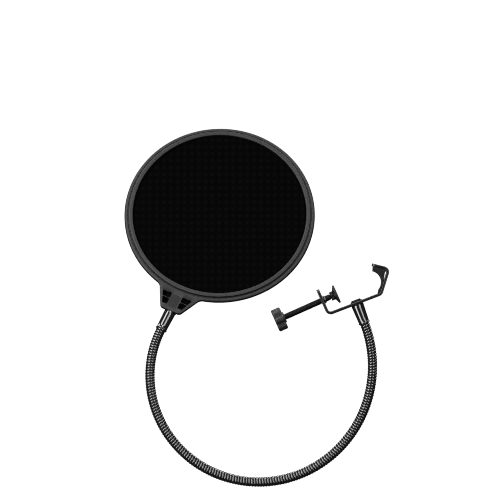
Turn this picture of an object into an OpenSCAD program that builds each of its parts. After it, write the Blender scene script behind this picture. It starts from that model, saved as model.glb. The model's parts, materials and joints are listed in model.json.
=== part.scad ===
// Pop filter: a round double-mesh screen on a flexible gooseneck, held by a
// screw clamp. Millimetres, +Z up. The origin is the axis of the clamp's saddle,
// the centre of the tube that it grips, at the middle of the clamp's width.
// The screen faces -Y and its top leans back towards +Y.

/* [Screen] */
// Outer diameter of the screen
ring_d = 155; // [140:1:170]
// Width of a press-in hoop's face, from the mesh to the groove
face_w = 3.4; // [3:0.1:4]
// Width of the groove between a press-in hoop and the outer hoop
groove_w = 0.9; // [0.7:0.1:1.2]
// Wall of the outer hoop, with its flat front strip
wall_w = 2.6; // [2.4:0.1:3.2]
// Depth of the outer hoop, front to back
hoop_depth = 4.2; // [4:0.2:6]
// How far a press-in hoop stands out of the outer hoop
face_proud = 1.5; // [1:0.1:2]
// Thickness of one mesh disc
mesh_t = 0.4; // [0.3:0.1:0.5]
// How far the top of the screen leans back, in degrees
ring_lean = 24.3; // [10:0.1:35]
// How far the screen is turned about the line of sight, in degrees
ring_roll = 1.9; // [0:0.1:4]

/* [Bracket on the screen] */
// Direction of the bracket, measured from straight down, in degrees
bracket_angle = 27; // [15:1:35]
// Distance of the bracket's bottom edge from the screen's centre
bracket_reach = 94; // [93:0.5:96]
// Width of the bracket's bottom edge before its corners are rounded
bracket_w = 17.2; // [16:0.2:18]
// Flare of each side of the bracket, in degrees
bracket_flare = 27; // [24:1:30]
// Thickness of the bracket's plate
bracket_t = 3.4; // [3.2:0.1:4]

/* [Gooseneck] */
// Diameter of the gooseneck
neck_d = 7.8; // [7.6:0.1:8]
// Length of the gooseneck between the two ferrules
neck_length = 359.5; // [340:0.5:375]
// Share of the bend that is held back near the clamp
neck_ease = 0.075; // [0:0.005:0.15]
// Share of its length after which the gooseneck curves back
neck_rise_from = 0.7; // [0.5:0.05:0.8]

/* [Ferrules] */
// Exposed length of a ferrule
ferrule_length = 16.3; // [15:0.1:18]
// Diameter of the lower ferrule where it meets the clamp
ferrule_base_d = 10.1; // [9.6:0.1:10.4]
// Diameter of both ferrules at the mouth
ferrule_mouth_d = 8.6; // [8.6:0.1:9]

/* [Clamp] */
// Thickness of the clamp's strip
strip_t = 2.3; // [1.6:0.1:2.4]
// Width of the clamp's strip
strip_w = 14; // [12:0.5:16]
// Radius of the saddle, the concave face that grips a tube
saddle_r = 9; // [8:0.5:9.5]
// Slope of the clamp's spine, in degrees
clamp_tilt = 21; // [15:0.5:27]

/* [Thumb screw] */
// Nominal diameter of the screw's thread
screw_d = 5; // [4.6:0.1:5.4]
// Outer diameter of the knob
knob_d = 19; // [17:0.5:21]
// Thickness of the knob
knob_t = 7.7; // [6:0.1:8]
// Number of lobes round the knob
knob_lobes = 7; // [5:1:9]
// Diameter of the swivel foot
foot_d = 15.1; // [13:0.1:16]

/* [Hidden] */
$fn = 96;

function link_name(k) = str("gooseneck_link_", k < 10 ? "0" : "", k);

// Screen: radii from the outside in
ring_r = ring_d / 2;
seat_r = ring_r - wall_w;
face_r = seat_r - groove_w;
opening_r = face_r - face_w;
web_r = opening_r + 0.6;
web_half = 0.6;
fit_gap = 0.05;
hoop_half = hoop_depth / 2;
edge_r = 1.6;

// Bracket on the outer hoop, with the ferrule's socket behind its plate
corner_r = 3.5;
fillet_r = 6;
socket_y = 2.6;
socket_r = 3.05;
socket_depth = 14;
boss_r = 5.2;
pocket_depth = 2.5;
plug_depth = 11.5;
neck_r = neck_d / 2;
ferrule_bore_r = neck_r + 0.1;
ferrule_wall_r = ferrule_mouth_d / 2;
mouth_reach = bracket_reach + ferrule_length + 0.4;

// Clamp: the spine's centre line runs along U through the ferrule's axis, V points into the jaw
saddle_u = 15.9;
saddle_v = 12;
bend_r = 3.5;
strip_line = [[-25.6, 21.5], [-24.5, 0], [20.9, 0], [34.0, 16.6], [22.5, 24.6]];
end_r = 2.5;

// Thumb screw: S runs along its axis, from the flange towards the foot
flange_u = -25.12;
screw_v = 12.1;
flange_lean = 3;
screw_gap = 0.05;
collar_h = 2;
knob_s = -41.6;
foot_s = 13.2;
hub_s = 7.3;
stem_r = 1.8;
head_r = 2.5;

// Gooseneck: rigid links joined at stations, each link straight along its own direction
last_link = 16;
cup_gap = 0.3;
link_l = neck_length / last_link;
neck_start = clamp_point([0, -strip_t / 2 - ferrule_length]);
head_dir = head_turn([sin(bracket_angle), 0, cos(bracket_angle)]);
turn_total = 270 + clamp_tilt - atan2(head_dir[2], head_dir[0]);
rise_total = asin(head_dir[1]);

// Places a point of the clamp's own U, V plane in the part's frame
function clamp_point(p) = [
    (p[0] - saddle_u) * cos(clamp_tilt) - (p[1] - saddle_v) * sin(clamp_tilt),
    0,
    (p[0] - saddle_u) * sin(clamp_tilt) + (p[1] - saddle_v) * cos(clamp_tilt)];

// Turns a direction of the screen's own frame into the part's frame
function lean_back(p) = [
    p[0],
    p[1] * cos(ring_lean) + p[2] * sin(ring_lean),
    p[2] * cos(ring_lean) - p[1] * sin(ring_lean)];
function roll_over(p) = [
    p[0] * cos(ring_roll) - p[2] * sin(ring_roll),
    p[1],
    p[2] * cos(ring_roll) + p[0] * sin(ring_roll)];
function head_turn(p) = roll_over(lean_back(p));

// Direction of the gooseneck at a share t of its length
function bend_share(t) = t - neck_ease * t * (1 - t);
function neck_heading(t) = clamp_tilt - 90 - turn_total * bend_share(t);
function neck_rise(t) = rise_total * max(0, (t - neck_rise_from) / (1 - neck_rise_from));
function neck_dir(t) = [
    cos(neck_rise(t)) * cos(neck_heading(t)),
    sin(neck_rise(t)),
    cos(neck_rise(t)) * sin(neck_heading(t))];

// Station k is the joint between links k and k + 1
function link_dir(k) = neck_dir(k / last_link);
stations = [for (k = 0, p = neck_start + link_l / 2 * link_dir(0);
    k < last_link;
    k = k + 1, p = p + link_l * link_dir(k)) p];
neck_end = stations[last_link - 1] + link_l / 2 * link_dir(last_link);
mouth = head_turn([
    -mouth_reach * sin(bracket_angle),
    socket_y,
    -mouth_reach * cos(bracket_angle)]);
ring_centre = neck_end - mouth;

// Points of an arc about c, from angle a to angle b
function arc(c, r, a, b, n = 8) =
    [for (i = [0 : n]) c + r * [cos(a + (b - a) * i / n), sin(a + (b - a) * i / n)]];

// Rounds the corner at q between p and s, with radius r
function unit(v) = v / norm(v);
function turned(v, side) = side * [-v[1], v[0]];
function round_corner(p, q, s, r, n = 6) = let (
    d = unit(q - p),
    e = unit(s - q),
    side = sign(d[0] * e[1] - d[1] * e[0]),
    half = acos(d * e) / 2,
    from = q - d * r * tan(half),
    centre = from + turned(d, side) * r,
    start = atan2(from[1] - centre[1], from[0] - centre[0]))
    arc(centre, r, start, start + side * 2 * half, n);

// One side of the bent strip, at the distance off to the left of its centre line
function strip_side(off) = concat(
    [strip_line[0] + off * turned(unit(strip_line[1] - strip_line[0]), 1)],
    [for (i = [1 : 3]) each offset_corner(strip_line[i - 1], strip_line[i], strip_line[i + 1], off)],
    [strip_line[4] + off * turned(unit(strip_line[4] - strip_line[3]), 1)]);
function offset_corner(p, q, s, off) = let (
    d = unit(q - p),
    e = unit(s - q),
    shift = (d + e) / (1 + d * e))
    round_corner(p + off * turned(d, 1), q + off * turned(shift, 1), s + off * turned(e, 1), bend_r - off);
function reversed(list) = [for (i = [len(list) - 1 : -1 : 0]) list[i]];

module clamp_place() {
    rotate([0, -clamp_tilt, 0])
        translate([-saddle_u, 0, -saddle_v])
            children();
}

module screw_place() {
    clamp_place()
        translate([flange_u, 0, screw_v])
            rotate([0, 90 - flange_lean, 0])
                children();
}

module head_place() {
    translate(ring_centre)
        rotate([-ring_lean, -ring_roll, 0])
            children();
}

// Turns a solid that is drawn along +Z so that it runs from p along direction d
module aim(p, d) {
    translate(p)
        rotate([0, acos(d[2]), atan2(d[1], d[0])])
            children();
}

module strip_outline() {
    polygon(concat(strip_side(strip_t / 2), reversed(strip_side(-strip_t / 2))));
}

// Cutter for the two rounded corners at an end of the strip: p is the end, d points out of it
module end_rounding(p, d) {
    translate([p[0], 0, p[1]])
        rotate([0, -atan2(d[1], d[0]), 0])
            for (side = [-1, 1])
                translate([-end_r, side * (strip_w / 2 - end_r), 0])
                    difference() {
                        translate([0, side > 0 ? 0 : -end_r - 1, -strip_t])
                            cube([end_r + 1, end_r + 1, 2 * strip_t]);
                        cylinder(h = 5 * strip_t, r = end_r, center = true);
                    }
}

module clamp_bracket() {
    color([0.07, 0.07, 0.08]) {
        clamp_place()
            difference() {
                rotate([90, 0, 0])
                    linear_extrude(strip_w, center = true)
                        strip_outline();
                end_rounding(strip_line[0], unit(strip_line[0] - strip_line[1]));
                end_rounding(strip_line[4], unit(strip_line[4] - strip_line[3]));
                cylinder(h = 3 * strip_t, r = 2.2, center = true);
                translate([flange_u, 0, screw_v])
                    rotate([0, 90 - flange_lean, 0])
                        cylinder(h = 3 * strip_t, r = screw_d / 2 + screw_gap, center = true);
            }
        screw_place()
            rotate_extrude()
                polygon([
                    [screw_d / 2 + screw_gap, strip_t / 2 - 0.2],
                    [screw_d / 2 + 1.2, strip_t / 2 - 0.2],
                    [screw_d / 2 + 1.2, strip_t / 2],
                    [screw_d / 2 + 0.5, strip_t / 2 + collar_h - 0.4],
                    [screw_d / 2 + 0.3, strip_t / 2 + collar_h],
                    [screw_d / 2 + screw_gap, strip_t / 2 + collar_h]]);
    }
}

// Moulded pad in the hook: its face is the saddle, and its back leaves a slit behind the upper corner
module saddle_pad() {
    color([0.05, 0.05, 0.05])
        clamp_place()
            rotate([90, 0, 0])
                linear_extrude(strip_w, center = true)
                    difference() {
                        polygon([
                            [17.0, 0], [20.9, 0], [27.6, 8.5], [28.9, 13.2], [30.2, 15.3], [32.2, 15.5],
                            [32.4, 16.8], [31.1, 18.6], [22.4, 24.4], [20.7, 19.1],
                            [saddle_u, saddle_v], [20.2, 4.1]]);
                        strip_outline();
                        translate([saddle_u, saddle_v])
                            circle(r = saddle_r);
                    }
}

module ferrule_screw() {
    top = strip_t / 2 + 0.7;
    color([0.1, 0.1, 0.11])
        clamp_place()
            difference() {
                rotate_extrude()
                    polygon([
                        [0, -4.2], [1.6, -4.2], [2, -3.8], [2, top],
                        [4, top], [4, top + 0.7], [3.5, top + 1.1], [0, top + 1.1]]);
                for (a = [0, 90])
                    translate([0, 0, top + 1.1])
                        rotate([0, 0, a])
                            cube([4.4, 0.9, 1.4], center = true);
            }
}

module toothed_washer() {
    teeth = 16;
    color([0.12, 0.12, 0.13])
        clamp_place()
            translate([0, 0, strip_t / 2])
                difference() {
                    linear_extrude(0.7)
                        polygon([for (i = [0 : 2 * teeth - 1])
                            (i % 2 == 0 ? 4.8 : 4.2) * [cos(180 * i / teeth), sin(180 * i / teeth)]]);
                    cylinder(h = 4, r = 2.2, center = true);
                }
}

// Ferrule drawn along +Z from its base at 0 to its mouth, with a bead round the mouth.
// The gooseneck sits in the bore behind the mouth.
module ferrule_shell(base_r, length) {
    bead = 1.1;
    rotate_extrude()
        polygon(concat(
            [[0, 0], [base_r - 0.3, 0], [base_r, 0.3]],
            [[ferrule_wall_r, length - bead]],
            arc([ferrule_wall_r - 0.1, length - bead / 2], bead / 2, -80, 80, 6),
            [[ferrule_bore_r, length], [ferrule_bore_r, length - plug_depth], [0, length - plug_depth]]));
}

module lower_ferrule() {
    color([0.03, 0.03, 0.03])
        clamp_place()
            translate([0, 0, -strip_t / 2])
                rotate([180, 0, 0])
                    difference() {
                        ferrule_shell(ferrule_base_d / 2, ferrule_length);
                        cylinder(h = 9, r = 2.05, center = true);
                    }
}

module upper_ferrule() {
    color([0.03, 0.03, 0.03])
        head_place()
            rotate([0, bracket_angle, 0])
                translate([0, socket_y, 0])
                    rotate([180, 0, 0]) {
                        translate([0, 0, mouth_reach - ferrule_length - 0.4])
                            ferrule_shell(4.7, ferrule_length + 0.4);
                        translate([0, 0, bracket_reach - socket_depth + 0.3])
                            cylinder(h = socket_depth, r = socket_r - fit_gap);
                    }
}

module thumb_screw() {
    color([0.1, 0.1, 0.1])
        screw_place()
            rotate_extrude()
                polygon([
                    [0, knob_s + 1.5], [screw_d / 2, knob_s + 1.5], [screw_d / 2, hub_s - 0.8],
                    [screw_d / 2 - 0.4, hub_s - 0.4], [stem_r, hub_s - 0.4], [stem_r, hub_s + 1.4],
                    [head_r - 0.4, hub_s + 1.4], [head_r, hub_s + 1.8], [head_r, hub_s + 3.2],
                    [head_r - 0.8, hub_s + 4], [0, hub_s + 4]]);
}

module knob() {
    lobe_r = 2.6;
    color([0.06, 0.06, 0.06])
        screw_place()
            difference() {
                translate([0, 0, knob_s]) {
                    linear_extrude(knob_t)
                        union() {
                            circle(r = knob_d / 2 - 1.6);
                            for (i = [0 : knob_lobes - 1])
                                rotate(360 * (i + 0.5) / knob_lobes)
                                    translate([knob_d / 2 - lobe_r, 0])
                                        circle(r = lobe_r);
                        }
                    translate([0, 0, knob_t - 0.1])
                        cylinder(h = 1.1, r = 4.2);
                }
                translate([0, 0, knob_s + 1.5])
                    cylinder(h = 2 * knob_t, r = screw_d / 2);
            }
}

// Pressed foot: a shallow cone with a hub whose lip holds the screw's head
module swivel_foot() {
    rim_r = foot_d / 2 - 0.3;
    color([0.08, 0.08, 0.08])
        screw_place()
            rotate_extrude()
                polygon([
                    [stem_r + 0.1, hub_s], [3.4, hub_s], [3.9, hub_s + 0.5], [3.9, hub_s + 2.6],
                    [5.2, hub_s + 3.4], [rim_r, foot_s - 1.6], [rim_r, foot_s - 0.9], [0, foot_s - 0.9],
                    [0, hub_s + 4.3], [head_r + 0.1, hub_s + 4.3], [head_r + 0.1, hub_s + 1.1],
                    [stem_r + 0.1, hub_s + 1.1]]);
}

// Soft disc that is pushed on to the foot's rim
module foot_pad() {
    pad_r = foot_d / 2;
    color([0.04, 0.04, 0.04])
        screw_place()
            rotate_extrude()
                polygon([
                    [0, foot_s - 0.9], [pad_r - 0.25, foot_s - 0.9], [pad_r - 0.25, foot_s - 1.5],
                    [pad_r, foot_s - 1.5], [pad_r, foot_s - 0.3], [pad_r - 0.3, foot_s], [0, foot_s]]);
}

// Link k: a domed end at its first station and a dished end at its last one.
// The first and last links run straight into their ferrules.
module gooseneck_link(k) {
    cup_r = neck_r + cup_gap;
    rim = asin(neck_r / cup_r);
    first = k == 0;
    last = k == last_link;
    reach = first || last ? link_l / 2 : link_l;
    color([0.09, 0.09, 0.1])
        aim(first ? neck_start : stations[k - 1], link_dir(k))
            rotate_extrude()
                polygon(concat(
                    first ? [[0, -plug_depth], [neck_r, -plug_depth]] : arc([0, 0], neck_r, -90, 0),
                    last
                        ? [[neck_r, reach + plug_depth], [0, reach + plug_depth]]
                        : arc([0, reach], cup_r, rim - 90, -90)));
}

// Outline of the bracket: x runs across it, y is minus the distance from the screen's centre
module bracket_outline() {
    half_w = bracket_w / 2;
    n = [cos(bracket_flare), sin(bracket_flare)];
    offset_n = half_w * n[0] + bracket_reach * n[1];
    along = sqrt(pow(ring_r + fillet_r, 2) - pow(offset_n + fillet_r, 2));
    fillet = (offset_n + fillet_r) * n + along * [-n[1], n[0]];
    tangent = fillet - fillet_r * n;
    corner = [half_w, bracket_reach];
    side = concat([[0, bracket_reach]], round_corner([0, bracket_reach], corner, tangent, corner_r),
        [tangent, fillet, fillet * (ring_r - 1) / norm(fillet)]);
    difference() {
        polygon(concat(
            [for (p = side) [p[0], -p[1]]],
            [for (p = reversed(side)) [-p[0], -p[1]]]));
        circle(r = ring_r - 1.4);
        for (x = [-1, 1])
            translate([x * fillet[0], -fillet[1]])
                circle(r = fillet_r);
    }
}

// The two pockets on one side, with the thin rib between them
module pocket_pair() {
    polygon([[4.8, -79.6], [12.8, -79.7], [11, -84.3], [4.8, -84.3]]);
    polygon([[4.8, -84.9], [10.8, -84.9], [8.7, -90], [4.8, -90]]);
}

module outer_hoop() {
    top = hoop_half;
    color([0.2, 0.2, 0.2])
        head_place() {
            rotate([90, 0, 0])
                rotate_extrude($fn = 180)
                    polygon(concat(
                        [[seat_r, top]],
                        arc([ring_r - edge_r, top - edge_r], edge_r, 90, 0),
                        arc([ring_r - edge_r, edge_r - top], edge_r, 0, -90),
                        [[seat_r, -top], [seat_r, -web_half], [web_r, -web_half]],
                        [[web_r, web_half], [seat_r, web_half]]));
            rotate([0, bracket_angle, 0])
                difference() {
                    union() {
                        translate([0, bracket_t - top, 0])
                            rotate([90, 0, 0])
                                linear_extrude(bracket_t)
                                    bracket_outline();
                        intersection() {
                            translate([0, socket_y, -bracket_reach + 0.6])
                                cylinder(h = socket_depth + 1.6, r = boss_r);
                            translate([-boss_r - 1, 0.4 - top, -bracket_reach])
                                cube([2 * boss_r + 2, 2 * boss_r + 6, 40]);
                        }
                    }
                    translate([0, socket_y, -bracket_reach - 1])
                        cylinder(h = socket_depth + 1, r = socket_r);
                    for (x = [0, 1])
                        mirror([x, 0, 0])
                            translate([0, pocket_depth - top, 0])
                                rotate([90, 0, 0])
                                    linear_extrude(2 * pocket_depth)
                                        pocket_pair();
                }
        }
}

// Press-in hoop: side is 1 for the front one and -1 for the rear one
module press_hoop(side) {
    base = web_half + mesh_t;
    top = hoop_half + face_proud;
    color([0.28, 0.28, 0.28])
        head_place()
            rotate([90, 0, 0])
                mirror([0, 0, side > 0 ? 0 : 1])
                    rotate_extrude($fn = 180)
                        polygon(concat(
                            [[opening_r, base], [seat_r - fit_gap, base]],
                            [[seat_r - fit_gap, base + 0.5], [face_r, base + 0.5]],
                            arc([face_r - 0.6, top - 0.6], 0.6, 0, 90, 4),
                            arc([opening_r + 0.6, top - 0.6], 0.6, 90, 180, 4)));
}

module mesh_disc(side) {
    color([0.02, 0.02, 0.02])
        head_place()
            rotate([90 * side, 0, 0])
                translate([0, 0, web_half])
                    cylinder(h = mesh_t, r = seat_r - 0.4, $fn = 180);
}

clamp_bracket();
saddle_pad();
ferrule_screw();
toothed_washer();
lower_ferrule();
swivel_foot();
foot_pad();
thumb_screw();
knob();
for (k = [0 : last_link]) gooseneck_link(k);
upper_ferrule();
outer_hoop();
press_hoop(1);  // front_hoop
press_hoop(-1);  // rear_hoop
mesh_disc(1);  // front_mesh
mesh_disc(-1);  // rear_mesh
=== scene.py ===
"""Pop filter: a round double-mesh screen on a wound-wire gooseneck, held by a screw clamp.

Each section makes one piece, in the order in which the object is put together. Local
sizes are in millimetres and are placed in the frame by a matrix, in metres.
"""
import json
import math

import bmesh
import bpy
import numpy as np
from mathutils import Matrix, Vector
from mathutils.geometry import delaunay_2d_cdt

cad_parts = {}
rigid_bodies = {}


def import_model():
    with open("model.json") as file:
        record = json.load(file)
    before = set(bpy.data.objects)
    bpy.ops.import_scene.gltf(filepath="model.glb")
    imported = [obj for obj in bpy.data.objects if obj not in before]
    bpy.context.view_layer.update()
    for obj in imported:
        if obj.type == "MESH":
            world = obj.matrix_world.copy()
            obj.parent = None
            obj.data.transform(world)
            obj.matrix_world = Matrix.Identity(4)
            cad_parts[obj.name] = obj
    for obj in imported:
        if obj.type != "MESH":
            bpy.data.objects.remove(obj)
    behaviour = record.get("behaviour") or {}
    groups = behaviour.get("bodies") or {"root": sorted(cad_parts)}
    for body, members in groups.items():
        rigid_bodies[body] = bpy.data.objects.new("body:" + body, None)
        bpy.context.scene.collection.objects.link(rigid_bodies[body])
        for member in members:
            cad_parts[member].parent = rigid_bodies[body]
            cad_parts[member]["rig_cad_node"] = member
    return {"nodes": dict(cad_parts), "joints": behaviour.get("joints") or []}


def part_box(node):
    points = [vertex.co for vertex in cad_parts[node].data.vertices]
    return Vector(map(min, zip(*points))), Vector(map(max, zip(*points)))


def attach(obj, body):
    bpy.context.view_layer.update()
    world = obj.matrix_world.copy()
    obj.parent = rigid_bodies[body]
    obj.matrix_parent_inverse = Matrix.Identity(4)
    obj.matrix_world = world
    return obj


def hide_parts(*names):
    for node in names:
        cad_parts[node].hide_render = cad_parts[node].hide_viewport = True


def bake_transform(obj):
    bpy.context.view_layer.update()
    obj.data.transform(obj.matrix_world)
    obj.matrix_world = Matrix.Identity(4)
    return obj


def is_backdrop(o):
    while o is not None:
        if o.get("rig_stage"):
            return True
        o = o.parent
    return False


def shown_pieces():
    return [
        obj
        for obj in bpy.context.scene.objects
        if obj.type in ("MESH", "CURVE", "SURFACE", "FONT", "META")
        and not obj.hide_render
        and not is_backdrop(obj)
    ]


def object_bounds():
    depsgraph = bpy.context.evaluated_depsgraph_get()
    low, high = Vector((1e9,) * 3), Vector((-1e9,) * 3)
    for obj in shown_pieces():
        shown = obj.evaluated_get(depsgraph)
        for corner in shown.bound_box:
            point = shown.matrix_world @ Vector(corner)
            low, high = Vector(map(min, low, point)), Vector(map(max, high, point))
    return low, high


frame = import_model()
cad_box = [list(corner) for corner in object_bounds()]

# ---------------------------------------------------------------- Camera and studio
# A long lens looks level along +Y, square to the clamp. A pale round floor runs up into a
# plain white wall, well outside the camera's circle. Two tall soft boxes stand in front, to
# the left and right, with a small one above them and three dimmer ones behind. The wall
# stands further out than the widest pose takes the camera, so it never hides the object.

MM = 0.001
VIEW_CENTRE = Vector((-0.0966, 0.03, 0.026))
VIEW_WIDTH = 0.405
VIEW_DISTANCE = 6.0
VIEW_END = 40
SENSOR = 36.0

lens = bpy.data.cameras.new("long_lens")
lens.sensor_width = SENSOR
lens.lens = SENSOR * VIEW_DISTANCE / VIEW_WIDTH
lens.clip_end = VIEW_END
camera = bpy.data.objects.new("camera", lens)
camera.location = VIEW_CENTRE - Vector((0, VIEW_DISTANCE, 0))
camera.rotation_euler = (math.radians(90), 0, 0)
bpy.context.collection.objects.link(camera)
bpy.context.scene.camera = camera


class Socket:
    """A shader value that takes part in Python expressions."""

    def __init__(self, finish, output):
        self.finish = finish
        self.output = output

    def _maths(self, operation, first, second):
        return self.finish.node("Math", {"operation": operation}, {0: first, 1: second})

    def __add__(self, other):
        return self._maths("ADD", self, other)

    def __radd__(self, other):
        return self._maths("ADD", other, self)

    def __mul__(self, other):
        return self._maths("MULTIPLY", self, other)

    def __rmul__(self, other):
        return self._maths("MULTIPLY", other, self)

    def __pow__(self, other):
        return self._maths("POWER", self, other)


class Finish:
    """One material: a Principled shader and the nodes that feed it."""

    def __init__(self, name, **sockets):
        self.material = bpy.data.materials.new(name)
        self.material.use_nodes = True
        self.tree = self.material.node_tree
        self.shader = self.tree.nodes["Principled BSDF"]
        self.set(**sockets)

    def plug(self, socket, value):
        """Links a value that varies to the socket, or sets a plain one on it."""
        if isinstance(value, Socket):
            self.tree.links.new(value.output, socket)
        else:
            socket.default_value = value

    def set(self, **sockets):
        """Fills the shader's sockets by name, with _ for each space."""
        for name, value in sockets.items():
            self.plug(self.shader.inputs[name.replace("_", " ")], value)

    def node(self, kind, settings=None, sockets=None, output=0):
        """Adds a node of that type, sets it up, fills its sockets and gives one output."""
        node = self.tree.nodes.new("ShaderNode" + kind)
        for name, value in (settings or {}).items():
            setattr(node, name, value)
        for name, value in (sockets or {}).items():
            self.plug(node.inputs[name], value)
        return Socket(self, node.outputs[output])

    def place(self):
        """Position in the object, in metres."""
        return self.node("TexCoord", output="Object")

    def noise(self, size, detail=2.0, rough=0.5):
        """Cloudy value from 0 to 1 whose blotches are about size millimetres across."""
        sockets = {"Vector": self.place(), "Scale": 1 / (size * MM)}
        sockets.update({"Detail": detail, "Roughness": rough})
        return self.node("TexNoise", {}, sockets, "Fac")

    def shades(self, share, dark, light):
        """Colour that runs from dark to light as share goes from 0 to 1."""
        mix = {0: share, 6: (*dark, 1), 7: (*light, 1)}
        return self.node("Mix", {"data_type": "RGBA"}, mix, 2)

    def bump(self, height, depth):
        """Normal for a relief that is depth millimetres deep."""
        sockets = {"Height": height, "Distance": depth * MM, "Strength": 1.0}
        return self.node("Bump", {}, sockets, "Normal")


def mesh_object(name, verts, faces, finish, sharp=35):
    """A smooth mesh with sharp edges where its surface turns by more than sharp degrees."""
    mesh = bpy.data.meshes.new(name)
    mesh.from_pydata([tuple(v) for v in verts], [], faces)
    mesh.validate()
    mesh.update()
    mesh.shade_smooth()
    mesh.set_sharp_from_angle(angle=math.radians(sharp))
    mesh.materials.append(finish.material)
    made = bpy.data.objects.new(name, mesh)
    bpy.context.collection.objects.link(made)
    return made


def bridge(first, second, count):
    """Quads between two closed rows of count vertices that start at first and second."""
    return [
        (first + i, first + (i + 1) % count, second + (i + 1) % count, second + i)
        for i in range(count)
    ]


FLOOR_DROP = 0.45
WALL_R = 13.0
COVE_R = 3.0
COVE_STEPS = 12
STUDIO_TOP = 14.0
STUDIO_SIDES = 64
WORLD_LIGHT = 0.035

floor_z = cad_box[0][2] - FLOOR_DROP
paper = Finish("white_paper", Roughness=1.0, Base_Color=(0.9, 0.9, 0.9, 1))
paper.set(Emission_Color=(1, 1, 1, 1), Emission_Strength=1.0)
cove = [
    (WALL_R - COVE_R + COVE_R * math.sin(a), COVE_R * (1 - math.cos(a)))
    for a in np.linspace(0, math.pi / 2, COVE_STEPS)
]
sweep = [(0.0, 0.0)] + cove + [(WALL_R, STUDIO_TOP)]
studio_verts = [
    (r * math.cos(a), r * math.sin(a), floor_z + z)
    for r, z in sweep
    for a in np.linspace(0, 2 * math.pi, STUDIO_SIDES, endpoint=False)
]
studio_faces = []
for i in range(len(sweep) - 1):
    studio_faces += bridge(i * STUDIO_SIDES, (i + 1) * STUDIO_SIDES, STUDIO_SIDES)
backdrop = mesh_object("backdrop", studio_verts, studio_faces, paper)
backdrop.visible_glossy = False
backdrop.visible_diffuse = False
backdrop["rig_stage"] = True

world = bpy.data.worlds.new("studio")
world.use_nodes = True
sky = world.node_tree.nodes["Background"]
sky.inputs["Color"].default_value = (1, 1, 1, 1)
sky.inputs["Strength"].default_value = WORLD_LIGHT
bpy.context.scene.world = world
bpy.context.scene.view_settings.view_transform = "Standard"
bpy.context.scene.cycles.filter_width = 1.0


def soft_box(name, azimuth, elevation, distance, width, height, power):
    """A soft box that faces the object, azimuth degrees to the right of the camera."""
    box = bpy.data.lights.new(name, "AREA")
    box.shape = "RECTANGLE"
    box.size = width
    box.size_y = height
    box.energy = power
    lamp = bpy.data.objects.new(name, box)
    a = math.radians(azimuth)
    e = math.radians(elevation)
    outward = Vector((math.sin(a) * math.cos(e), -math.cos(a) * math.cos(e), math.sin(e)))
    lamp.location = VIEW_CENTRE + outward * distance
    lamp.rotation_euler = outward.to_track_quat("Z", "Y").to_euler()
    bpy.context.collection.objects.link(lamp)


soft_box("left_box", -42, 14, 1.6, 0.85, 4.0, 52)
soft_box("right_box", 34, 14, 1.6, 0.66, 4.0, 24)
soft_box("high_box", 26, 60, 1.6, 0.5, 0.4, 2)
soft_box("back_left_box", -130, 48, 1.8, 0.6, 0.6, 9)
soft_box("back_right_box", 130, 48, 1.8, 0.6, 0.6, 9)
soft_box("back_high_box", 180, 62, 1.8, 1.2, 0.6, 9)

# ---------------------------------------------------------------- Clamp bracket
# Spring steel strip, cold bent to a flange, a spine and a hook, then coated satin black.
# The flange's hole is drawn out into a short tapped collar that faces the jaw.

CLAMP_TILT = math.radians(21)
SADDLE = (15.9, 12.0)
STRIP_LINE = [(-25.6, 21.5), (-24.5, 0), (20.9, 0), (34.0, 16.6), (22.5, 24.6)]
STRIP_HALF = 1.15
STRIP_HALF_W = 7.0
STRIP_STEP = 0.9
BEND_R = 3.5
END_R = 2.5
EDGE_R = 0.6
HOLE_R = 2.52

# Clamp's own millimetres (along the spine, across the jaw towards +Y, into the jaw) to the frame
clamp_place = (
    Matrix.Rotation(-CLAMP_TILT, 4, "Y")
    @ Matrix.Scale(MM, 4)
    @ Matrix.Translation((-SADDLE[0], 0, -SADDLE[1]))
)


def rounded_line(points, radius, steps=8):
    """The points of a bent line whose inner corners are arcs of that radius."""
    points = [Vector(p) for p in points]
    line = [points[0]]
    for before, corner, after in zip(points, points[1:], points[2:]):
        d = (corner - before).normalized()
        e = (after - corner).normalized()
        turn = math.atan2(d.x * e.y - d.y * e.x, d.dot(e))
        start = corner - d * radius * abs(math.tan(turn / 2))
        side = Vector((-d.y, d.x)) * math.copysign(radius, turn)
        for i in range(steps + 1):
            line.append(start + side + Matrix.Rotation(turn * i / steps, 2) @ -side)
    line.append(points[-1])
    return line


def left_of(line):
    """Unit vectors to the left of a line at each of its points."""
    normals = []
    for i in range(len(line)):
        along = (line[min(i + 1, len(line) - 1)] - line[max(i - 1, 0)]).normalized()
        normals.append(Vector((-along.y, along.x)))
    return normals


def strip_section(half_w):
    """A rounded rectangle, across the strip and through its thickness."""
    corners = ((1, 1), (-1, 1), (-1, -1), (1, -1))
    section = []
    for k, (sx, sy) in enumerate(corners):
        for a in np.linspace(0, math.pi / 2, 5):
            turn = a + k * math.pi / 2
            across = sx * (half_w - EDGE_R) + EDGE_R * math.cos(turn)
            section.append((across, sy * (STRIP_HALF - EDGE_R) + EDGE_R * math.sin(turn)))
    return section


steel = Finish("satin_black_coating", Metallic=0.0, Coat_Roughness=0.2, IOR=1.5)
cloud = steel.noise(9, 3)
speck = steel.noise(0.35, 2, 0.7)
steel.set(
    Base_Color=steel.shades(cloud, (0.004, 0.004, 0.0045), (0.011, 0.011, 0.0115)),
    Roughness=0.2 + cloud * 0.16,
    Coat_Weight=0.6,
    Normal=steel.bump(speck, 0.02),
)

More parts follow.
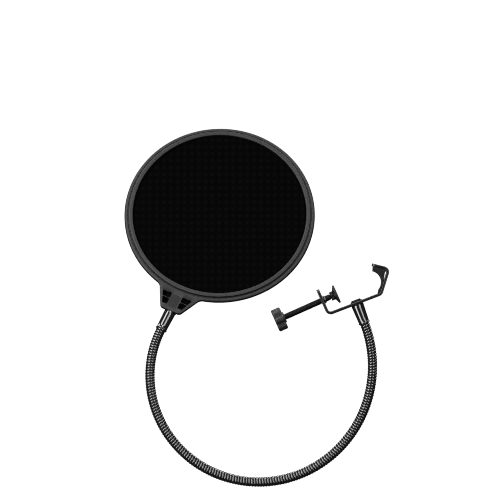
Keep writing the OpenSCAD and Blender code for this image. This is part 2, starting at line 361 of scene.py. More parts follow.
strip_ends = rounded_line(STRIP_LINE, BEND_R)
strip_path = []
for a, b in zip(strip_ends, strip_ends[1:]):
    parts = max(1, round((b - a).length / STRIP_STEP))
    strip_path += [a.lerp(b, i / parts) for i in range(parts)]
strip_path.append(strip_ends[-1])
strip_left = left_of(strip_path)
travelled = np.cumsum([0] + [(b - a).length for a, b in zip(strip_path, strip_path[1:])])
verts = []
faces = []
for i, (p, left) in enumerate(zip(strip_path, strip_left)):
    from_end = min(travelled[i], travelled[-1] - travelled[i])
    notch = max(0.0, END_R - from_end)
    half_w = STRIP_HALF_W - END_R + math.sqrt(END_R**2 - notch**2)
    section = strip_section(half_w)
    for across, through in section:
        q = p + left * through
        verts.append(clamp_place @ Vector((q.x, across, q.y)))
    if i:
        faces += bridge(len(verts) - 2 * len(section), len(verts) - len(section), len(section))
count = len(section)
faces += [tuple(range(count)), tuple(range(len(verts) - 1, len(verts) - 1 - count, -1))]
bracket = mesh_object("bent_strip", verts, faces, steel)

screw_joint = next(j for j in frame["joints"] if j["name"] == "screw_turn")
screw_axis = Vector(screw_joint["axis"]).normalized()
screw_place = (
    Matrix.Translation(screw_joint["pos_m"])
    @ screw_axis.to_track_quat("Z", "Y").to_matrix().to_4x4()
    @ Matrix.Scale(MM, 4)
)


def lathe(name, outline, finish, place, segments=64, sharp=35):
    """Turns an outline of (radius, height) round the local Z axis of place.

    A radius of 0 closes the shape there. An outline that never reaches 0 is closed on itself.
    """
    verts = []
    faces = []
    rows = []
    for r, z in outline:
        rows.append((len(verts), r > 0))
        steps = segments if r > 0 else 1
        for i in range(steps):
            a = 2 * math.pi * i / segments
            verts.append(place @ Vector((r * math.cos(a), r * math.sin(a), z)))
    pairs = list(zip(rows, rows[1:]))
    if outline[0][0] > 0 and outline[-1][0] > 0:
        pairs.append((rows[-1], rows[0]))
    for (first, wide), (second, wide_too) in pairs:
        if wide and wide_too:
            faces += bridge(first, second, segments)
        elif wide:
            faces += [(first + i, first + (i + 1) % segments, second) for i in range(segments)]
        elif wide_too:
            faces += [(first, second + (i + 1) % segments, second + i) for i in range(segments)]
    return mesh_object(name, verts, faces, finish, sharp)


def applied(made):
    """Replaces an object's mesh with what its modifiers make of it."""
    graph = bpy.context.evaluated_depsgraph_get()
    shaped = bpy.data.meshes.new_from_object(made.evaluated_get(graph))
    made.modifiers.clear()
    made.data = shaped
    return made


drill = lathe("drill", [(0, -3), (HOLE_R, -3), (HOLE_R, 3), (0, 3)], steel, screw_place)
cut = bracket.modifiers.new("hole", "BOOLEAN")
cut.operation = "DIFFERENCE"
cut.solver = "EXACT"
cut.object = drill
applied(bracket)
bpy.data.objects.remove(drill)
bracket.data.set_sharp_from_angle(angle=math.radians(35))
collar = lathe(
    "tapped_collar",
    [
        (2.55, 0.8), (3.95, 0.9), (3.6, 1.15), (3.15, 1.7),
        (2.95, 2.6), (2.8, 2.95), (2.55, 3.0),
    ],
    steel,
    screw_place,
)
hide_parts("clamp_bracket")
for piece in (bracket, collar):
    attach(piece, "clamp")

# ---------------------------------------------------------------- Saddle pad
# Moulded plastic pad, clipped into the hook. Its face is the saddle that grips the tube,
# and its back leaves the strip near the upper corner, which gives a narrow slit.

SADDLE_R = 9.0
SADDLE_ARC = (-60, 56)
SADDLE_STEPS = 36
PAD_EDGE = 0.5
PAD_SLACK = 0.05

pad_plastic = Finish("black_grained_plastic", Specular_IOR_Level=0.25, IOR=1.48)
pad_cloud = pad_plastic.noise(6, 3)
pad_plastic.set(
    Base_Color=pad_plastic.shades(pad_cloud, (0.003, 0.003, 0.003), (0.009, 0.009, 0.009)),
    Roughness=0.42 + pad_cloud * 0.2,
    Normal=pad_plastic.bump(pad_plastic.noise(0.4, 3, 0.7), 0.035),
)


def inset(loop, distance):
    """A closed loop moved inwards by distance, where the loop runs anticlockwise."""
    moved = []
    for i, p in enumerate(loop):
        d = (p - loop[i - 1]).normalized()
        e = (loop[(i + 1) % len(loop)] - p).normalized()
        shift = Vector((-d.y - e.y, d.x + e.x))
        moved.append(p + shift * distance / max(0.35, 1 + d.dot(e)))
    return moved


def slab(name, loop, half_w, edge, finish, place):
    """A closed outline in the local X, Z plane, thick along Y, with bevelled edges."""
    rows = ((edge, -half_w), (edge * 0.3, -half_w + edge * 0.3), (0, -half_w + edge))
    rows = rows + tuple((d, -y) for d, y in reversed(rows))
    verts = [place @ Vector((p.x, y, p.y)) for d, y in rows for p in inset(loop, d)]
    count = len(loop)
    faces = [f for i in range(len(rows) - 1) for f in bridge(i * count, (i + 1) * count, count)]
    last = (len(rows) - 1) * count
    faces += [tuple(range(count - 1, -1, -1)), tuple(range(last, last + count))]
    return mesh_object(name, verts, faces, finish)


inner_face = [p + left * STRIP_HALF for p, left in zip(strip_path, strip_left)]
# The pad lies against the strip on both sides of the slit
lower_back = [p for p in inner_face if 17.9 < p.x < 27.2 and p.y < 8.6]
upper_back = [p for p in inner_face if p.y > 15.6 and p.x > 22.0]
arc_ends = [math.radians(a) for a in SADDLE_ARC]
saddle_face = [
    Vector((SADDLE[0] + SADDLE_R * math.cos(a), SADDLE[1] + SADDLE_R * math.sin(a)))
    for a in np.linspace(arc_ends[1], arc_ends[0], SADDLE_STEPS)
]
slit = [Vector((28.9, 13.2)), Vector((30.0, 15.1))]
pad_loop = lower_back + slit + upper_back + saddle_face
pad_half_w = STRIP_HALF_W - PAD_SLACK
pad = slab("moulded_pad", pad_loop, pad_half_w, PAD_EDGE, pad_plastic, clamp_place)
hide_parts("saddle_pad")
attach(pad, "clamp")

# ---------------------------------------------------------------- Ferrule screw and toothed washer
# A cross-head screw holds the lower ferrule through the spine, over a washer whose teeth
# bite into the strip. Both are steel with a black oxide skin, a little worn on the edges.

oxide = Finish("black_oxide", Metallic=0.75, Coat_Roughness=0.3)
worn = oxide.noise(1.6, 4, 0.65)
oxide.set(
    Base_Color=oxide.shades(worn ** 2, (0.006, 0.006, 0.006), (0.03, 0.029, 0.028)),
    Roughness=0.26 + worn * 0.22,
    Normal=oxide.bump(oxide.noise(0.3, 2, 0.6), 0.015),
)
for node in ("ferrule_screw", "toothed_washer"):
    materials = frame["nodes"][node].data.materials
    materials.clear()
    materials.append(oxide.material)

# ---------------------------------------------------------------- Ferrules
# Two turned steel ferrules in gloss black lacquer. The gooseneck is pressed into each, and
# the mouth is rolled to a bead. The lower one is a little wider where it meets the strip.

MOUTH_R = 4.3
BORE_R = 3.95
BORE_DEPTH = 11.4
BEAD = 0.55
LOWER_LENGTH = 16.3
LOWER_R = 5.05
UPPER_LENGTH = 16.7
UPPER_R = 4.7
FERRULE_SEGMENTS = 96

lacquer = Finish("gloss_black_lacquer", Coat_Roughness=0.08, IOR=2.0)
lacquer_cloud = lacquer.noise(5, 3)
lacquer.set(
    Base_Color=lacquer.shades(lacquer_cloud, (0.004, 0.004, 0.004), (0.009, 0.009, 0.0095)),
    Roughness=0.12 + lacquer_cloud * 0.08,
    Coat_Weight=0.9,
    Normal=lacquer.bump(lacquer.noise(2.2, 2, 0.5), 0.01),
)


def ferrule_outline(base_r, length):
    """Ferrule from its base at height 0 to its beaded mouth, and back down its bore."""
    lip = [
        (MOUTH_R - 0.12 + BEAD * math.cos(a), length - BEAD + BEAD * math.sin(a))
        for a in np.linspace(-1.2, 1.5, 9)
    ]
    wall = [
        (base_r + (MOUTH_R - base_r) * i / 6, 0.5 + (length - 1.7) * i / 6) for i in range(7)
    ]
    base = [(0, 0), (base_r - 0.5, 0), (base_r - 0.12, 0.15)]
    bore = [(BORE_R, length), (BORE_R, length - BORE_DEPTH), (0, length - BORE_DEPTH)]
    return base + wall + lip + bore


down_from_strip = Matrix.Translation((0, 0, -STRIP_HALF)) @ Matrix.Rotation(math.pi, 4, "X")
lower_ferrule = lathe(
    "lower_turned_ferrule",
    ferrule_outline(LOWER_R, LOWER_LENGTH),
    lacquer,
    clamp_place @ down_from_strip,
    FERRULE_SEGMENTS,
)
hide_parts("lower_ferrule")
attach(lower_ferrule, "clamp")

RING_LEAN = math.radians(24.3)
RING_ROLL = math.radians(1.9)
BRACKET_ANGLE = math.radians(27)
BRACKET_REACH = 94.0
SOCKET_Y = 2.6

mesh_boxes = [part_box("front_mesh"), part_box("rear_mesh")]
ring_centre = sum((low + high for low, high in mesh_boxes), Vector()) / 4
# Screen's own millimetres: X to the right, Y away from the front, Z up its face
head_place = (
    Matrix.Translation(ring_centre)
    @ Matrix.Rotation(-RING_ROLL, 4, "Y")
    @ Matrix.Rotation(-RING_LEAN, 4, "X")
    @ Matrix.Scale(MM, 4)
)
bracket_place = head_place @ Matrix.Rotation(BRACKET_ANGLE, 4, "Y")
out_of_socket = Matrix.Translation((0, SOCKET_Y, 0)) @ Matrix.Rotation(math.pi, 4, "X")
ferrule_start = Matrix.Translation((0, 0, BRACKET_REACH))
upper_ferrule = lathe(
    "upper_turned_ferrule",
    ferrule_outline(UPPER_R, UPPER_LENGTH),
    lacquer,
    bracket_place @ out_of_socket @ ferrule_start,
    FERRULE_SEGMENTS,
)
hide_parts("upper_ferrule")
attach(upper_ferrule, "head")

# ---------------------------------------------------------------- Gooseneck
# A round spring wire wound side by side, with a wedge wire wound between its turns. It is
# one tube from ferrule to ferrule; each length here spans one joint of the chain.

WIRE_HIGH = 0.62
WIRE_WIDE = 0.78
WEDGE_HALF = 0.5
WEDGE_DEEP = 0.4
NECK_R = 3.95
TURNS = 10.2
END_TURNS = 1.5
TURN_STEPS = 18

neck_wire = Finish("black_wire_coating", Coat_Roughness=0.08, IOR=2.1)
wire_cloud = neck_wire.noise(3, 3)
neck_wire.set(
    Base_Color=neck_wire.shades(wire_cloud, (0.004, 0.004, 0.004), (0.01, 0.01, 0.0105)),
    Roughness=0.12 + wire_cloud * 0.1,
    Coat_Weight=1.0,
)
wedge_wire = Finish("dull_wedge_wire", Specular_IOR_Level=0.2, IOR=1.5)
wedge_cloud = wedge_wire.noise(2, 3)
wedge_wire.set(
    Base_Color=wedge_wire.shades(wedge_cloud, (0.002, 0.002, 0.002), (0.006, 0.006, 0.006)),
    Roughness=0.6 + wedge_cloud * 0.2,
)

neck_joints = [j for j in frame["joints"] if j["name"].startswith("neck_")]
stations = [Vector(j["pos_m"]) for j in neck_joints]
half_link = (stations[1] - stations[0]).length / 2
ferrule_down = (clamp_place.to_3x3() @ Vector((0, 0, -1))).normalized()
towards_ring = (bracket_place.to_3x3() @ Vector((0, 0, 1))).normalized()
link_dirs = [(b - a).normalized() for a, b in zip(stations, stations[1:])]
link_dirs = [ferrule_down] + link_dirs + [towards_ring]


def wire(path, across, centre_r, section, shift):
    """A wire of that section wound round a path of points, each with its cross directions."""
    verts = []
    faces = []
    for i, (p, u, v, along) in enumerate(path):
        phase = across + 2 * math.pi * i / TURN_STEPS
        out = u * math.cos(phase) + v * math.sin(phase)
        for radial, axial in section:
            verts.append(p + (out * (centre_r + radial) + along * (axial + shift)) * MM)
        if i:
            faces += bridge(len(verts) - 2 * len(section), len(verts) - len(section), len(section))
    count = len(section)
    faces += [tuple(range(count)), tuple(range(len(verts) - 1, len(verts) - 1 - count, -1))]
    return verts, faces


round_section = [
    (WIRE_HIGH * math.cos(a), WIRE_WIDE * math.sin(a))
    for a in np.linspace(0, 2 * math.pi, 12, endpoint=False)
]
wedge_section = [(0.0, -WEDGE_HALF), (0.12, 0.0), (0.0, WEDGE_HALF), (-0.75, 0.1), (-0.75, -0.1)]
pitch = 2 * half_link / MM / TURNS
carried = ferrule_down.orthogonal().normalized()
phase = 0.0
for k, station in enumerate(stations):
    d, e = link_dirs[k], link_dirs[k + 1]
    bend = d.angle(e)
    axle = d.cross(e).normalized()
    radius = half_link / math.tan(bend / 2)
    start = station - d * half_link
    hub = start + axle.cross(d) * radius
    last_length = k == len(stations) - 1
    first_turn = -END_TURNS if k == 0 else 0.0
    last_turn = TURNS + (END_TURNS if last_length else 0.0)
    path = []
    for i in range(round((last_turn - first_turn) * TURN_STEPS) + 1):
        share = (first_turn + i / TURN_STEPS) / TURNS
        inside = min(1.0, max(0.0, share))
        turn = Matrix.Rotation(bend * inside, 3, axle)
        along = turn @ d
        p = hub + turn @ (start - hub) + along * (share - inside) * 2 * half_link
        u = turn @ carried
        path.append((p, u, along.cross(u), along))
    here = phase + 2 * math.pi * first_turn
    verts, faces = wire(path, here, NECK_R - WIRE_HIGH, round_section, 0.0)
    more_verts, more_faces = wire(path, here, NECK_R - WEDGE_DEEP, wedge_section, pitch / 2)
    round_faces = len(faces)
    faces += [tuple(len(verts) + i for i in f) for f in more_faces]
    length = mesh_object(f"wound_wire_{k:02d}", verts + more_verts, faces, neck_wire, 50)
    length.data.materials.append(wedge_wire.material)
    for face in length.data.polygons[round_faces:]:
        face.material_index = 1
    nodes = [f"gooseneck_link_{k:02d}"] + (["gooseneck_link_16"] if last_length else [])
    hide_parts(*nodes)
    station + e * half_link
    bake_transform(length)
    carried = Matrix.Rotation(bend, 3, axle) @ carried
    phase += 2 * math.pi * TURNS

# ---------------------------------------------------------------- Thumb screw
# M5 steel screw with a rolled thread, moulded into the knob at one end. The other end is
# turned down to a stem, and its head sits inside the swivel foot.

THREAD_CREST = 2.5
THREAD_ROOT = 2.2
THREAD_PITCH = 0.8
THREAD_START = -34.5
THREAD_END = 6.5
THREAD_SEGMENTS = 28
RINGS_PER_PITCH = 8


def thread_radius(share):
    """Radius of the thread at a share of one pitch: flat crest, flat root, straight flanks."""
    wave = abs(2 * (share % 1) - 1)
    return THREAD_ROOT + (THREAD_CREST - THREAD_ROOT) * min(1, max(0, 1.5 * wave - 0.25))


verts = []
faces = []
ring_count = round((THREAD_END - THREAD_START) / THREAD_PITCH * RINGS_PER_PITCH) + 1
for i in range(ring_count):
    z = THREAD_START + i * THREAD_PITCH / RINGS_PER_PITCH
    for j in range(THREAD_SEGMENTS):
        a = 2 * math.pi * j / THREAD_SEGMENTS
        r = thread_radius(i / RINGS_PER_PITCH - j / THREAD_SEGMENTS)
        verts.append(screw_place @ Vector((r * math.cos(a), r * math.sin(a), z)))
    if i:
        row_start = len(verts) - THREAD_SEGMENTS
        faces += bridge(row_start - THREAD_SEGMENTS, row_start, THREAD_SEGMENTS)
faces += [
    tuple(range(THREAD_SEGMENTS - 1, -1, -1)),
    tuple(range(len(verts) - THREAD_SEGMENTS, len(verts))),
]
thread = mesh_object("threaded_rod", verts, faces, oxide, 50)
stem = lathe(
    "turned_stem",
    [
        (0, 6.3), (2.05, 6.3), (2.05, 6.6), (1.8, 6.9), (1.8, 8.7),
        (2.1, 8.7), (2.5, 9.1), (2.5, 10.5), (1.7, 11.3), (0, 11.3),
    ],
    oxide,
    screw_place,
    40,
)
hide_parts("thumb_screw")
for piece in (thread, stem):
    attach(piece, "screw")

# ---------------------------------------------------------------- Knob
# Moulded plastic knob with seven lobes, rounded on both edges, with a shallow dish in its
# outer face and a boss round the screw on the inner one.

KNOB_BACK = -41.6
KNOB_T = 7.7
KNOB_R = 9.5
LOBES = 7
LOBE_DEPTH = 1.9
KNOB_STEPS = 168

knob_plastic = Finish("charcoal_knob_plastic", IOR=1.48)
knob_cloud = knob_plastic.noise(5, 3)
knob_plastic.set(
    Base_Color=knob_plastic.shades(knob_cloud, (0.012, 0.012, 0.012), (0.03, 0.03, 0.03)),
    Roughness=0.34 + knob_cloud * 0.16,
    Normal=knob_plastic.bump(knob_plastic.noise(0.35, 3, 0.7), 0.03),
)


def lobe_radius(a):
    """Outer radius of the knob: broad lobes with a narrower valley between them."""
    wave = 0.5 + 0.5 * math.cos(LOBES * (a - math.pi / LOBES))
    return KNOB_R - LOBE_DEPTH * (1 - wave**0.6)


# Height, distance in from the lobed outline, and a radius in its place where the row is round
knob_front = KNOB_BACK + KNOB_T
knob_rows = [(KNOB_BACK + z, 0.0, r) for z, r in ((1.4, 4.6), (0.5, 5.6), (0.1, 6.1))]
edge_rows = [(0.0, 1.3), (0.12, 0.75), (0.4, 0.32), (0.8, 0.08), (1.3, 0.0)]
knob_rows += [(KNOB_BACK + z, d, None) for z, d in edge_rows]
knob_rows += [(KNOB_BACK + KNOB_T * 0.5, 0.06, None)]
knob_rows += [(knob_front - z, d, None) for z, d in reversed(edge_rows)]
knob_rows += [(knob_front + z, 0.0, r) for z, r in ((0.0, 4.6), (0.7, 4.3), (1.0, 3.9))]
verts = []
faces = []
for i, (z, d, plain) in enumerate(knob_rows):
    for j in range(KNOB_STEPS):
        a = 2 * math.pi * j / KNOB_STEPS
        r = plain or lobe_radius(a) - d
        verts.append(screw_place @ Vector((r * math.cos(a), r * math.sin(a), z)))
    if i:
        faces += bridge(len(verts) - 2 * KNOB_STEPS, len(verts) - KNOB_STEPS, KNOB_STEPS)
faces += [
    tuple(range(KNOB_STEPS - 1, -1, -1)),
    tuple(range(len(verts) - KNOB_STEPS, len(verts))),
]
knob = mesh_object("lobed_knob", verts, faces, knob_plastic, 40)
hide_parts("knob")
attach(knob, "screw")

# ---------------------------------------------------------------- Swivel foot
# Pressed steel foot. Four claws of its hub are closed over the screw's head, so that the
# foot stays still while the screw turns. A soft disc is pushed on to its rim.

FOOT_FRONT = 13.2
FOOT_SEGMENTS = 72
GROOVE_DEPTH = 0.25
CLAWS = 4
CLAW_HALF = 1.15

foot_shell = lathe(
    "pressed_foot",
    [
        (1.95, 7.75), (3.2, 7.7), (3.55, 7.95), (3.6, 9.9), (4.3, 10.5),
        (5.4, 10.9), (6.6, 11.4), (7.15, 11.65), (7.2, 12.3), (0, 12.3),
        (0, 11.65), (2.65, 11.6), (2.65, 8.45), (1.95, 8.45),
    ],
    steel,
    screw_place,
    FOOT_SEGMENTS,
)
claw_verts = []
claw_faces = []
for c in range(CLAWS):
    spin = Matrix.Rotation(2 * math.pi * (c + 0.5) / CLAWS, 4, "Z")
    rows = [(3.5, 10.2), (3.95, 9.6), (3.95, 7.9), (3.75, 7.35), (3.3, 7.3), (3.4, 7.8), (3.5, 9.0)]
    count = len(rows)
    first = len(claw_verts)
    second = first + count
    for side in (-CLAW_HALF, CLAW_HALF):
        claw_verts += [screw_place @ spin @ Vector((r, side, z)) for r, z in rows]
    claw_faces += bridge(first, second, count)
    claw_faces += [tuple(range(second - 1, first - 1, -1)), tuple(range(second, second + count))]
claws = mesh_object("hub_claws", claw_verts, claw_faces, steel, 30)

soft_pad = Finish("soft_black_rubber", IOR=1.45)
rubber_cloud = soft_pad.noise(4, 3)
soft_pad.set(
    Base_Color=soft_pad.shades(rubber_cloud, (0.007, 0.007, 0.007), (0.016, 0.016, 0.016)),
    Roughness=0.6 + rubber_cloud * 0.2,
    Normal=soft_pad.bump(soft_pad.noise(0.5, 3, 0.7), 0.04),
)
grooves = [
    (r, FOOT_FRONT - (GROOVE_DEPTH if i % 2 else 0.0))
    for i, r in enumerate(np.arange(6.3, 0.9, -0.45))
]
disc_side = [(0, 12.25), (7.3, 12.25), (7.3, 11.75), (7.5, 11.75), (7.55, 12.0), (7.55, 12.9)]
disc_side += [(7.4, 13.1), (7.1, FOOT_FRONT)]
foot_pad = lathe(
    "foot_disc",
    disc_side + grooves + [(0, FOOT_FRONT)],
    soft_pad,
    screw_place,
    FOOT_SEGMENTS,
)
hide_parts("swivel_foot")
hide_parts("foot_pad")
for piece in (foot_shell, claws, foot_pad):
    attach(piece, "foot")

# ---------------------------------------------------------------- Outer hoop
# Moulded charcoal hoop with a web inside for the meshes to lie against. A fine parting line
# runs round its rim. Its front strip is flat and lies behind the press-in hoop's face.

RING_R = 77.5
SEAT_R = 74.9
WEB_R = 71.2
HOOP_HALF = 2.1
WEB_HALF = 0.6
RIM_R = 1.6
RING_SEGMENTS = 360

hoop_plastic = Finish("charcoal_moulded_plastic", IOR=1.48)
hoop_cloud = hoop_plastic.noise(14, 4)
hoop_grain = hoop_plastic.noise(0.45, 3, 0.7)
hoop_plastic.set(
    Base_Color=hoop_plastic.shades(hoop_cloud, (0.01, 0.01, 0.01), (0.024, 0.024, 0.024)),
    Roughness=0.44 + hoop_cloud * 0.14,
    Normal=hoop_plastic.bump(hoop_grain, 0.05),
)

# Painted shade: the same plastic, darker and slightly glossy, on the faces that turn away from the
# screen's front and back, where shade falls
painted_wall_shade = Finish("painted_shade_on_walls", IOR=1.48)
wall_cloud = painted_wall_shade.noise(10, 3)
painted_wall_shade.set(
    Base_Color=painted_wall_shade.shades(wall_cloud, (0.004, 0.004, 0.004), (0.009, 0.009, 0.009)),
    Roughness=0.4 + wall_cloud * 0.15,
    Normal=painted_wall_shade.bump(painted_wall_shade.noise(0.45, 3, 0.7), 0.03),
)
FACE_TURN = math.cos(math.radians(48))


def darken_walls(made):
    """Gives the faces that don't look to the screen's front or back a darker finish, as painted
    shade.
    """
    made.data.materials.append(painted_wall_shade.material)
    ahead = (head_place.to_3x3() @ Vector((0, 1, 0))).normalized()
    for face in made.data.polygons:
        if abs(face.normal.dot(ahead)) < FACE_TURN:
            face.material_index = 1


# Faces the local Z of a turned ring to the front of the screen
facing = head_place @ Matrix.Rotation(math.pi / 2, 4, "X")


def quarter(centre_r, centre_z, radius, start, end, steps=6):
    """Points of an arc in an outline, angles in degrees."""
    turns = [math.radians(a) for a in np.linspace(start, end, steps)]
    return [(centre_r + radius * math.cos(a), centre_z + radius * math.sin(a)) for a in turns]


rim_z = HOOP_HALF - RIM_R
hoop_outline = (
    quarter(SEAT_R + 0.25, HOOP_HALF - 0.25, 0.25, 180, 90, 4)
    + quarter(RING_R - RIM_R, rim_z, RIM_R, 90, 6, 9)
    + [(RING_R - 0.12, 0.1), (RING_R - 0.12, -0.1)]
    + quarter(RING_R - RIM_R, -rim_z, RIM_R, -6, -90, 9)
    + quarter(SEAT_R + 0.25, 0.25 - HOOP_HALF, 0.25, -90, -180, 4)
    + [(SEAT_R, -WEB_HALF), (WEB_R, -WEB_HALF), (WEB_R, WEB_HALF), (SEAT_R, WEB_HALF)]
)
hoop = lathe("moulded_hoop", hoop_outline, hoop_plastic, facing, RING_SEGMENTS)
darken_walls(hoop)
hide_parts("outer_hoop")

# ---------------------------------------------------------------- Bracket on the hoop
# Moulded in one with the hoop: a flared plate with four blind pockets in two columns, each
# with a bevelled rim, and behind it the round socket that takes the upper ferrule's plug.

PLATE_FRONT = -2.3
PLATE_BACK = 1.3
PLATE_EDGE = 0.5
HALF_BOTTOM = 8.6
FLARE = math.radians(27)
CORNER_R = 3.5
FILLET_R = 6.0
POCKET_DEPTH = 2.5
RIM_W = 0.28
RIM_H = 0.16
BOSS_R = 5.2

# The side's outward normal, its distance from the screen's centre and the fillet at the hoop.
# X runs across the bracket and Z is minus the distance from the screen's centre.
side_out = Vector((math.cos(FLARE), -math.sin(FLARE)))
side_off = HALF_BOTTOM * math.cos(FLARE) + BRACKET_REACH * math.sin(FLARE)
fillet_along = math.sqrt((RING_R + FILLET_R) ** 2 - (side_off + FILLET_R) ** 2)
fillet = side_out * (side_off + FILLET_R) + Vector((side_out.y, -side_out.x)) * fillet_along
bottom = -BRACKET_REACH
corner_ends = [(0, bottom), (HALF_BOTTOM, bottom), fillet - side_out * FILLET_R]
corner = rounded_line(corner_ends, CORNER_R, 10)
towards_side = (-side_out).angle_signed(Vector((1, 0)))
towards_hoop = (-fillet).angle_signed(Vector((1, 0)))
fillet_arc = [
    fillet + Vector((math.cos(a), math.sin(a))) * FILLET_R
    for a in np.linspace(towards_side, towards_hoop, 10)
]
top_r = SEAT_R + 0.12
hoop_side = math.atan2(fillet_arc[-1].x, -fillet_arc[-1].y)
top_arc = [
    Vector((math.sin(a), -math.cos(a))) * top_r for a in np.linspace(hoop_side, -hoop_side, 41)
]
right_side = corner[:-1] + fillet_arc
plate_loop = right_side + top_arc + [Vector((-p.x, p.y)) for p in reversed(right_side[1:])]


def pocket_loops():
    """The four pockets' outlines, anticlockwise, with rounded corners."""
    for low, high in (((8.7, -90.0), (10.8, -84.9)), ((11.0, -84.3), (12.8, -79.7))):
        for side in (1, -1):
            shape = [(4.8, low[1]), low, high, (4.8, high[1])]
            if side < 0:
                shape = [(-x, z) for x, z in reversed(shape)]
            closed = [((shape[0][0] + shape[1][0]) / 2, shape[0][1])] + shape[1:] + shape[:1]
            yield rounded_line(closed + closed[:1], 0.5, 4)[:-1]


def fill(outer, holes):
    """Triangles of the flat region inside outer and outside the holes, as vertices and faces."""
    loops = [outer] + holes
    points = [p for loop in loops for p in loop]
    edges = []
    start = 0
    for loop in loops:
        edges += [(start + i, start + (i + 1) % len(loop)) for i in range(len(loop))]
        start += len(loop)
    out = delaunay_2d_cdt(points, edges, [], 0, 1e-6)
    return out[0], out[2]


def inside(p, loop):
    """True where the point lies in the loop."""
    crossings = 0
    for a, b in zip(loop, loop[1:] + loop[:1]):
        if (a.y > p.y) != (b.y > p.y) and p.x < a.x + (b.x - a.x) * (p.y - a.y) / (b.y - a.y):
            crossings += 1
    return crossings % 2 == 1


PANEL_HALF = 3.9
PANEL_TOP = -79.6
PANEL_LOW = -90.2
PANEL_DEPTH = 0.3
PANEL_CORNER = 0.8
panel_corners = [(0, PANEL_LOW), (PANEL_HALF, PANEL_LOW), (PANEL_HALF, PANEL_TOP)]
panel_corners += [(-PANEL_HALF, PANEL_TOP), (-PANEL_HALF, PANEL_LOW), (0, PANEL_LOW)]
panel = rounded_line(panel_corners, PANEL_CORNER, 5)[:-1]

pockets = [list(loop) for loop in pocket_loops()]
face_loop = inset(plate_loop, PLATE_EDGE)
rim_loops = [inset(loop, -RIM_W) for loop in pockets]
verts = []
faces = []


def row(loop, y):
    """Adds a closed row of vertices at a depth, and gives the index of its first one."""
    verts.extend(bracket_place @ Vector((p.x, y, p.y)) for p in loop)
    return len(verts) - len(loop)


count = len(plate_loop)
edge_rows = [
    row(
        inset(plate_loop, PLATE_EDGE * (1 - math.sin(a))),
        PLATE_FRONT + PLATE_EDGE * (1 - math.cos(a)),
    )
    for a in np.linspace(0, math.pi / 2, 4)
]
edge_rows.append(row(plate_loop, PLATE_BACK - PLATE_EDGE))
edge_rows.append(row(inset(plate_loop, PLATE_EDGE), PLATE_BACK))
for a, b in zip(edge_rows, edge_rows[1:]):
    faces += bridge(b, a, count)
faces.append(tuple(range(edge_rows[-1], edge_rows[-1] + count)))
flat_points, flat_faces = fill(face_loop, rim_loops + [panel])
flat_start = len(verts)
verts += [bracket_place @ Vector((p.x, PLATE_FRONT, p.y)) for p in flat_points]
for f in flat_faces:
    middle = sum((flat_points[i] for i in f), Vector((0, 0))) / len(f)
    in_hole = any(inside(middle, loop) for loop in rim_loops + [panel])
    if inside(middle, face_loop) and not in_hole:
        faces.append(tuple(flat_start + i for i in f))
shaded_pocket_faces = []
for loop, rim in zip(pockets, rim_loops):
    rows = [
        row(rim, PLATE_FRONT),
        row(inset(loop, -RIM_W * 0.6), PLATE_FRONT - RIM_H),
        row(inset(loop, -RIM_W * 0.3), PLATE_FRONT - RIM_H),
        row(loop, PLATE_FRONT + 0.25),
        row(loop, PLATE_FRONT + POCKET_DEPTH - 0.3),
        row(inset(loop, 0.3), PLATE_FRONT + POCKET_DEPTH),
    ]
    for a, b in zip(rows, rows[1:]):
        faces += bridge(b, a, len(loop))
    shaded_pocket_faces += range(len(faces) - 3 * len(loop), len(faces) + 1)
    faces.append(tuple(range(rows[-1] + len(loop) - 1, rows[-1] - 1, -1)))
panel_rows = [
    row(panel, PLATE_FRONT),
    row(inset(panel, PANEL_DEPTH), PLATE_FRONT + PANEL_DEPTH),
]
faces += bridge(panel_rows[1], panel_rows[0], len(panel))
panel_floor = len(faces)
faces.append(tuple(range(panel_rows[1] + len(panel) - 1, panel_rows[1] - 1, -1)))
plate = mesh_object("bracket_plate", verts, faces, hoop_plastic, 40)

boss_outline = [(0, 77.3)] + quarter(BOSS_R - 1.4, 78.8, 1.4, -90, 0, 6)
boss_outline += [(BOSS_R, 93.0), (BOSS_R - 0.3, 93.4)]
boss_outline += [(3.2, 93.4), (3.1, 93.2), (3.1, 80.0), (0, 80.0)]
boss = lathe("ferrule_socket", boss_outline, hoop_plastic, bracket_place @ out_of_socket, 72)
# The socket's front is cut off flat, just behind the plate's front face
flatten = bracket_place.inverted()
for vertex in boss.data.vertices:
    local = flatten @ vertex.co
    local.y = max(local.y, PLATE_FRONT + 0.6)
    vertex.co = bracket_place @ local
darken_walls(plate)

# The panel between the pockets is spark-eroded in the mould, which leaves it darker and rougher
panel_plastic = Finish("spark_eroded_panel", IOR=1.48)
panel_cloud = panel_plastic.noise(8, 4)
panel_plastic.set(
    Base_Color=panel_plastic.shades(panel_cloud, (0.004, 0.004, 0.004), (0.01, 0.01, 0.01)),
    Roughness=0.62 + panel_cloud * 0.14,
    Normal=panel_plastic.bump(panel_plastic.noise(0.3, 3, 0.75), 0.06),
)
# Painted shade: the pockets' walls and bottoms get a near-black matte finish, darker than the
# plastic, for the shade that fills them
painted_pocket_shade = Finish("painted_pocket_shade", Roughness=0.9, Specular_IOR_Level=0.05)
pocket_cloud = painted_pocket_shade.noise(3, 3)
painted_pocket_shade.set(
    Base_Color=painted_pocket_shade.shades(pocket_cloud, (0.0008, 0.0008, 0.0008), (0.002, 0.002, 0.002)),
)
plate.data.materials.append(panel_plastic.material)
plate.data.materials.append(painted_pocket_shade.material)
plate.data.polygons[panel_floor].material_index = 2
for f in shaded_pocket_faces:
    plate.data.polygons[f].material_index = 3
for piece in (hoop, plate, boss):
    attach(piece, "head")

# ---------------------------------------------------------------- Press-in hoops
# Two moulded hoops, front and rear, snap into the outer hoop and stretch the meshes over
# its web. Each has a gently crowned face and leaves a narrow groove outside it.

OPENING_R = 70.6
FACE_R = 74.0
FACE_TOP = 3.6
FACE_BASE = 1.02
CROWN = 0.14

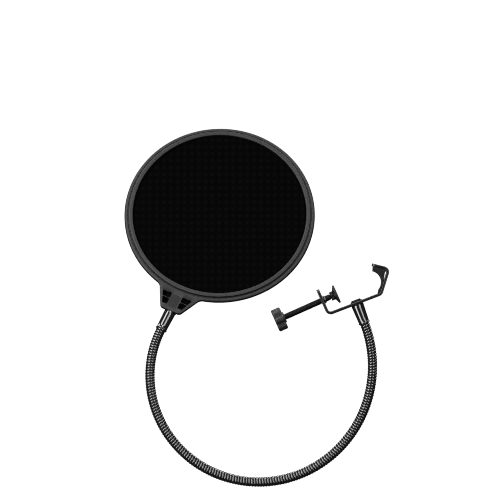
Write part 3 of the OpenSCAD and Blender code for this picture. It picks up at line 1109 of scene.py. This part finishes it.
lip_r = SEAT_R - 0.06
face_outline = [(OPENING_R, FACE_BASE), (lip_r, FACE_BASE), (lip_r, 1.5), (FACE_R, 1.5)]
face_outline += quarter(FACE_R - 0.5, FACE_TOP - 0.5, 0.5, 0, 80, 6)
face_width = FACE_R - OPENING_R - 1.1
face_outline += [
    (FACE_R - 0.5 - face_width * s, FACE_TOP + CROWN * math.sin(math.pi * s))
    for s in np.linspace(0.1, 0.9, 7)
]
face_outline += quarter(OPENING_R + 0.6, FACE_TOP - 0.6, 0.6, 95, 180, 6)
for name, node, turn in (("front_bezel", "front_hoop", 0), ("rear_bezel", "rear_hoop", math.pi)):
    bezel_place = facing @ Matrix.Rotation(turn, 4, "X")
    bezel = lathe(name, face_outline, hoop_plastic, bezel_place, RING_SEGMENTS)
    darken_walls(bezel)
    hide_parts(node)
    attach(bezel, "head")

# ---------------------------------------------------------------- Meshes
# Two discs of fine black nylon knit, drawn tight by the press-in hoops. The knit is so
# dense that the pair looks solid, with only a faint grain of loops.

MESH_R = 74.5
MESH_T = 0.4
MESH_RINGS = 48
MESH_SPOKES = 180
LOOP_SIZE = 0.9
WAVES_PER_SCALE = 20

nylon = Finish("black_nylon_knit", Specular_IOR_Level=0.015, IOR=1.5)
wave = {"Vector": nylon.place(), "Scale": 1 / (LOOP_SIZE * MM) / WAVES_PER_SCALE}
columns = nylon.node("TexWave", {"bands_direction": "X"}, wave, "Fac")
courses = nylon.node("TexWave", {"bands_direction": "Z"}, wave, "Fac")
fuzz = nylon.noise(2.5, 4, 0.7)
loops = columns * courses
nylon.set(
    Base_Color=nylon.shades(
        loops * 0.6 + fuzz * 0.4, (0.0006, 0.0006, 0.0006), (0.0028, 0.0028, 0.0028)
    ),
    Roughness=0.85,
    Normal=nylon.bump(loops, 0.08),
)
for name, node, side in (("front_knit", "front_mesh", 1), ("rear_knit", "rear_mesh", -1)):
    near = side * (WEB_HALF + 0.01)
    far = side * (WEB_HALF + MESH_T)
    verts = [facing @ Vector((0, 0, near)), facing @ Vector((0, 0, far))]
    faces = []
    for z in (near, far):
        for i in range(1, MESH_RINGS + 1):
            r = MESH_R * i / MESH_RINGS
            for j in range(MESH_SPOKES):
                a = 2 * math.pi * j / MESH_SPOKES
                verts.append(facing @ Vector((r * math.cos(a), r * math.sin(a), z)))
    sheet_start = 2 + MESH_RINGS * MESH_SPOKES
    for centre, start in ((0, 2), (1, sheet_start)):
        faces += [(centre, start + j, start + (j + 1) % MESH_SPOKES) for j in range(MESH_SPOKES)]
        for i in range(MESH_RINGS - 1):
            faces += bridge(start + i * MESH_SPOKES, start + (i + 1) * MESH_SPOKES, MESH_SPOKES)
    edge = (MESH_RINGS - 1) * MESH_SPOKES
    faces += bridge(2 + edge, sheet_start + edge, MESH_SPOKES)
    knit = mesh_object(name, verts, faces, nylon)
    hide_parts(node)
    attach(knit, "head")

# ---------------------------------------------------------------- Normals
# Vertices of a made mesh that share a place are joined, which closes it, and its faces are
# then turned to point outwards.

JOIN_WITHIN = 1e-7

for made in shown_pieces():
    if "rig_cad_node" in made:
        continue
    shape = bmesh.new()
    shape.from_mesh(made.data)
    bmesh.ops.remove_doubles(shape, verts=shape.verts, dist=JOIN_WITHIN)
    bmesh.ops.recalc_face_normals(shape, faces=shape.faces)
    shape.to_mesh(made.data)
    shape.free()
